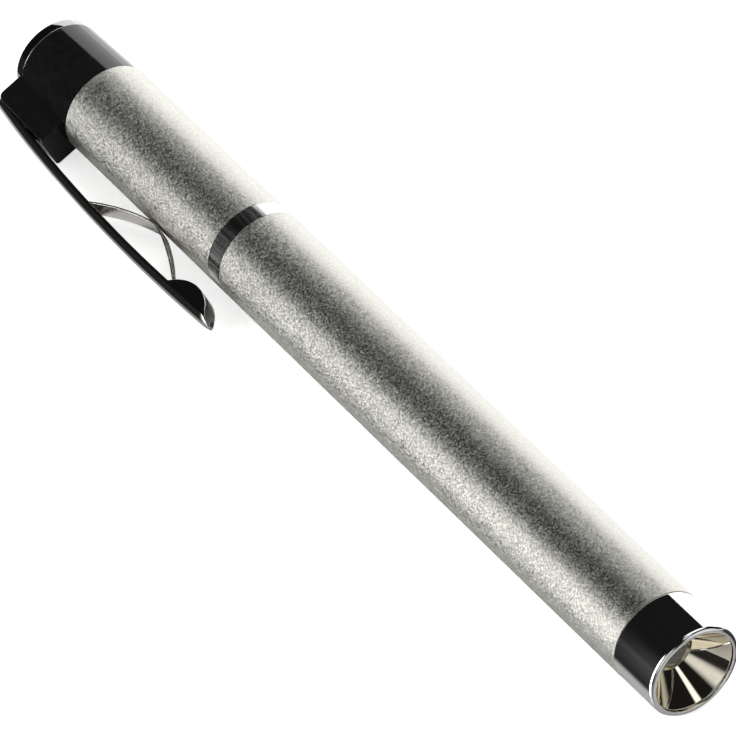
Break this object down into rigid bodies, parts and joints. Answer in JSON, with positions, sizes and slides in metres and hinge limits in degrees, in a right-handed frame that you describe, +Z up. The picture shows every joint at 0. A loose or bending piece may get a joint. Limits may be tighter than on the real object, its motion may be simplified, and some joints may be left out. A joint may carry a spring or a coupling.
{
  "type": "penlight",
  "caption": "Slim metal penlight with a press-clip switch, a bright contact ring between its tubes, a screw-on nose cap with reflector and lens lamp, and a black tail cap.",
  "frame": {"origin": "centre of the bounding box in plan, on the surface that the penlight lies on", "axes": "+X along the barrel towards the lamp, +Z up, with the clip on the -Y side, turned down until it meets the surface"},
  "size_m": [0.1412, 0.0174, 0.013],
  "materials": {
    "blasted_aluminium": "bead-blasted and clear anodised",
    "chrome_plate": "bright chrome plating",
    "reflector_mirror": "vapour-coated mirror",
    "lamp_glass": "clear pressed glass",
    "brass": "bare brass",
    "black_plastic": "gloss moulded",
    "insulation": "matt",
    "spring_steel": "nickel plated",
    "cell_metal": "plain metal can",
    "cell_film": "shrunk film"
  },
  "bodies": {
    "front": {"front_barrel": "blasted_aluminium", "contact_ring": "chrome_plate", "lamp_socket": "brass", "insulating_washer": "insulation", "lamp_glass": "lamp_glass", "lamp_shell": "brass", "lamp_bead": "insulation", "lamp_contact": "spring_steel", "lamp_leads": "spring_steel", "lamp_filament": "spring_steel", "front_cell_can": "cell_metal", "front_cell_sleeve": "cell_film", "front_cell_seal": "insulation", "front_cell_cap": "spring_steel", "rear_cell_can": "cell_metal", "rear_cell_sleeve": "cell_film", "rear_cell_seal": "insulation", "rear_cell_cap": "spring_steel"},
    "coil": {"battery_spring": "spring_steel"},
    "rear": {"rear_barrel": "blasted_aluminium", "tail_cap": "black_plastic", "tail_disc": "chrome_plate", "clip_contact": "brass", "clip_pin": "spring_steel"},
    "clip": {"clip_bar": "chrome_plate", "leaf_spring": "spring_steel"},
    "reflector": {"reflector": "reflector_mirror"},
    "nose": {"nose_cap": "chrome_plate"}
  },
  "joints": [
    {"name": "rear_travel", "type": "slide", "parent": "front", "child": "coil", "axis": [-1, 0, 0], "range_m": [0, 0.005]},
    {"name": "rear_unscrew", "type": "hinge", "parent": "coil", "child": "rear", "pos_m": [-0.03062, 0.00222, 0.0065], "axis": [-1, 0, 0], "range_deg": [0, 1800]},
    {"name": "clip_press", "type": "hinge", "parent": "rear", "child": "clip", "pos_m": [-0.06603, -0.00509, 0.00295], "axis": [0, -0.437, 0.8995], "range_deg": [0, 2.72], "stiffness_Nm_per_rad": 2.5, "deforming": ["leaf_spring"]},
    {"name": "nose_travel", "type": "slide", "parent": "front", "child": "reflector", "axis": [1, 0, 0], "range_m": [0, 0.003]},
    {"name": "nose_unscrew", "type": "hinge", "parent": "reflector", "child": "nose", "pos_m": [0.06638, 0.00222, 0.0065], "axis": [1, 0, 0], "range_deg": [0, 1440]}
  ],
  "couplings": [
    {"joint": "rear_travel", "follows": "rear_unscrew", "m_per_rad": 0.00015915},
    {"joint": "nose_travel", "follows": "nose_unscrew", "m_per_rad": 0.00011936}
  ]
}
